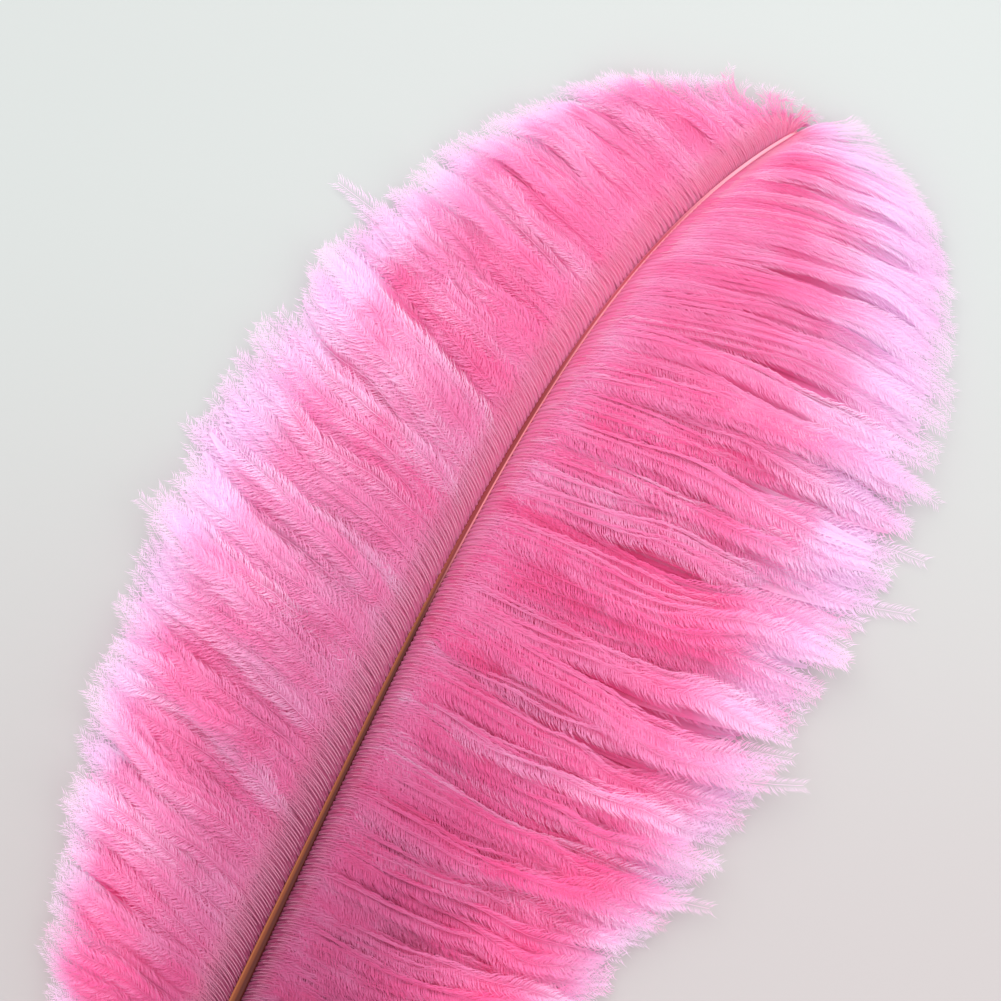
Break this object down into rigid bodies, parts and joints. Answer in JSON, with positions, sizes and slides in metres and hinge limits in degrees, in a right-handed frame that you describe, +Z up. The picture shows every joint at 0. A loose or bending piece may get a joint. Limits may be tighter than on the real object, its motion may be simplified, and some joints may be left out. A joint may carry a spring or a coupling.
{
  "type": "ostrich feather",
  "caption": "Large fluffy dyed plume lying flat, with a thin amber shaft that bends at the tip and soft barbs on both sides.",
  "frame": {"origin": "middle of the bounding box, at the surface that the plume lies on", "axes": "+Y from the quill to the tip, +X to the right as seen from above, +Z up from the surface"},
  "size_m": [0.1956, 0.4796, 0.015],
  "materials": {
    "shaft_horn": "smooth amber-brown horn, satin",
    "dyed_down": "soft pink dyed feather down"
  },
  "bodies": {
    "root": {"shaft": "shaft_horn", "left_vane": "dyed_down", "right_vane": "dyed_down"}
  },
  "joints": []
}
